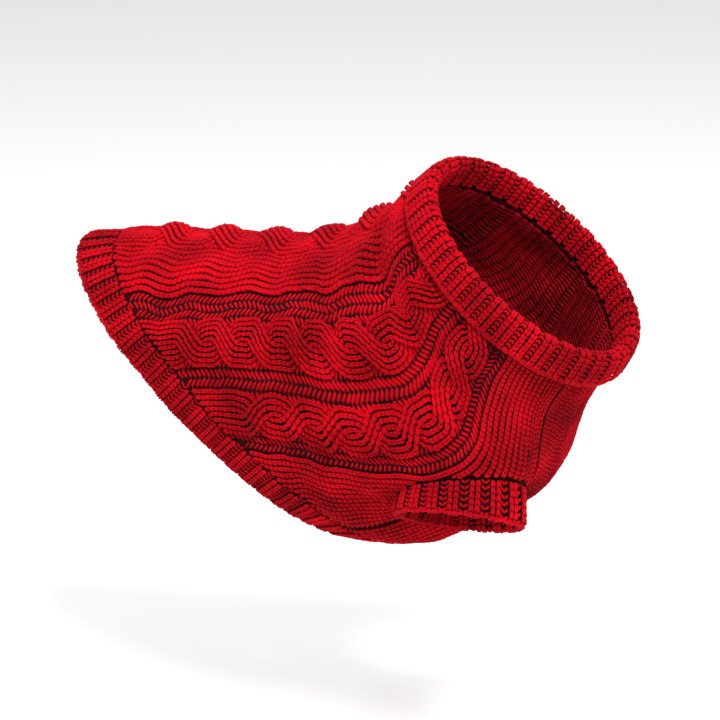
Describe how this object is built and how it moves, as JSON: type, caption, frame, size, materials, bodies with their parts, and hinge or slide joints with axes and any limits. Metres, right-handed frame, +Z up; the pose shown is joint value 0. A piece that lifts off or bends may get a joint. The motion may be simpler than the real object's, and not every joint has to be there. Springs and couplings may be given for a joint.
{
  "type": "dog sweater",
  "caption": "Cable-knit polo-neck sweater for a small dog, hollow as when worn, with a folded ribbed collar, a slanted ribbed hem and short ribbed leg cuffs.",
  "frame": {"origin": "where the wearer's back holds the sweater up: a point on the inner face of the back, on the spine line just behind the collar", "axes": "+X towards the wearer's head, +Y to the wearer's left, +Z up"},
  "size_m": [0.314, 0.1552, 0.2115],
  "materials": {
    "back_panel_knit": "matt chunky knit",
    "belly_panel_knit": "matt plain knit",
    "hem_band_knit": "matt ribbed knit",
    "collar_knit": "matt ribbed knit",
    "cuff_right_knit": "matt ribbed knit",
    "cuff_left_knit": "matt ribbed knit"
  },
  "bodies": {
    "root": {"back_panel": "back_panel_knit", "belly_panel": "belly_panel_knit", "hem_band": "hem_band_knit", "collar": "collar_knit", "cuff_right": "cuff_right_knit", "cuff_left": "cuff_left_knit"}
  },
  "joints": []
}
